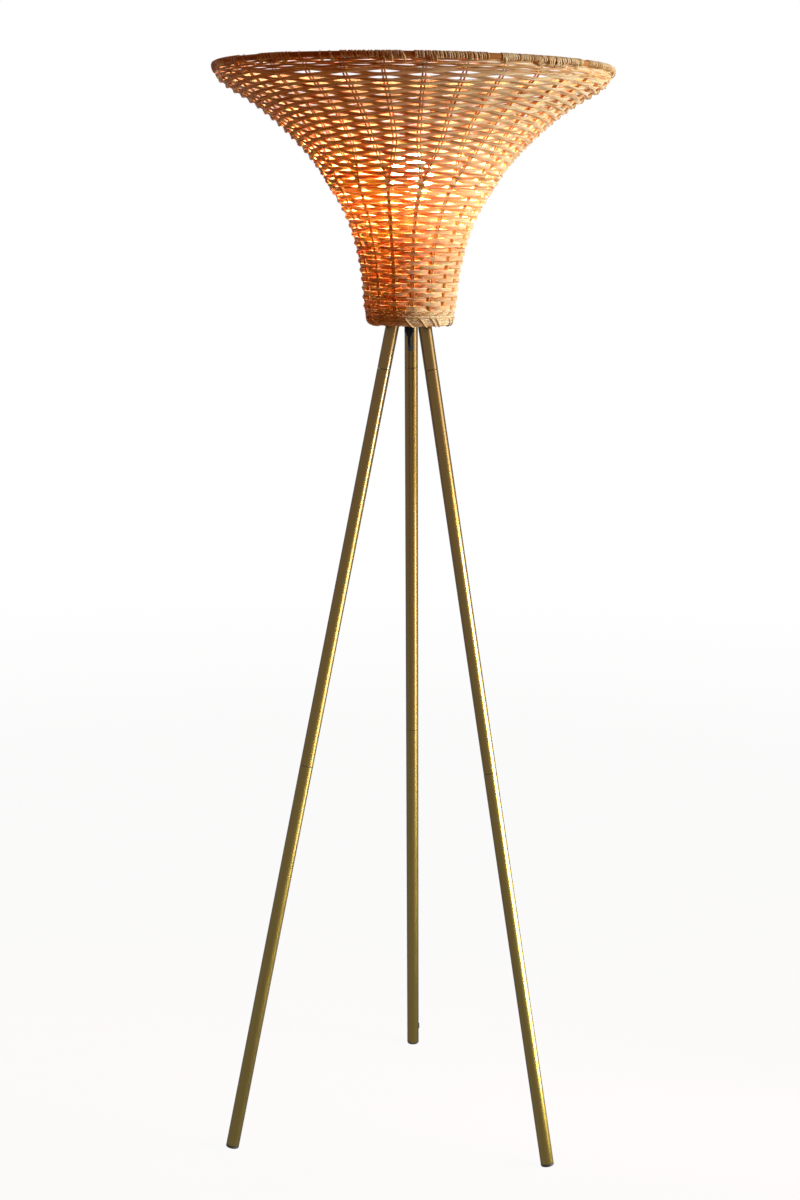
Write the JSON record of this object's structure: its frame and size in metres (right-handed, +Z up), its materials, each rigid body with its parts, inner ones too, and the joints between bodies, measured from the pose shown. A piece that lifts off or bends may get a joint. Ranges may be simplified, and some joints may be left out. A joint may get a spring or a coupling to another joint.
{
  "type": "rattan floor lamp",
  "caption": "Uplighter floor lamp: slim screwed brass-finished tripod legs carry a trumpet-shaped woven rattan shade round a single screw-in bulb.",
  "frame": {"origin": "on the floor, on the vertical axis of the shade and the three legs", "axes": "+Z up along the axis of the shade, +Y towards the back leg, which carries the lead, +X to the right seen from the front"},
  "size_m": [0.552, 0.552, 1.545],
  "materials": {
    "leg_brass": "aged brass, brushed along the tube, satin lacquer",
    "zinc_steel": "zinc plated",
    "foot_rubber": "matt",
    "grommet_rubber": "matt",
    "black_plastic": "moulded, satin",
    "lead_jacket": "smooth flexible jacket",
    "rattan": "natural rattan strands, woven, unlacquered",
    "plywood": "sanded plywood",
    "holder_plastic": "heat-resistant moulding",
    "porcelain": "glazed",
    "contact_brass": "bright",
    "bulb_nickel": "nickel plated",
    "bulb_black_glass": "black glass",
    "opal_glass": "opal, lit warm white"
  },
  "bodies": {
    "root": {"foot_back": "foot_rubber", "foot_left": "foot_rubber", "foot_right": "foot_rubber", "lower_tube_back": "leg_brass", "lower_tube_left": "leg_brass", "lower_tube_right": "leg_brass", "lower_stud_back": "zinc_steel", "lower_stud_left": "zinc_steel", "lower_stud_right": "zinc_steel", "lower_socket_back": "zinc_steel", "lower_socket_left": "zinc_steel", "lower_socket_right": "zinc_steel", "upper_tube_back": "leg_brass", "upper_tube_left": "leg_brass", "upper_tube_right": "leg_brass", "upper_stud_back": "zinc_steel", "upper_stud_left": "zinc_steel", "upper_stud_right": "zinc_steel", "upper_socket_back": "zinc_steel", "upper_socket_left": "zinc_steel", "upper_socket_right": "zinc_steel", "leg_stub_back": "leg_brass", "leg_stub_left": "leg_brass", "leg_stub_right": "leg_brass", "entry_grommet": "grommet_rubber", "exit_grommet": "grommet_rubber", "lead": "lead_jacket", "hub_plate": "leg_brass", "lower_nut": "zinc_steel", "riser_tube": "zinc_steel", "cord_grip": "black_plastic", "clamp_washer": "zinc_steel", "shade_nut": "zinc_steel", "holder_lock_nut": "zinc_steel", "shade_weave": "rattan", "shade_disc": "plywood", "bottom_border": "rattan", "rim_hoop": "rattan", "lampholder_cap": "holder_plastic", "lampholder_skirt": "holder_plastic", "terminal_block": "porcelain", "screw_shell": "contact_brass", "centre_contact": "contact_brass"},
    "bulb": {"bulb_contact": "bulb_nickel", "bulb_insulator": "bulb_black_glass", "bulb_cap": "bulb_nickel", "bulb_glass": "opal_glass"}
  },
  "joints": [
    {"name": "bulb_screw", "type": "hinge", "parent": "root", "child": "bulb", "pos_m": [0, 0, 1.348], "axis": [0, 0, 1], "range_deg": [0, 900]}
  ]
}
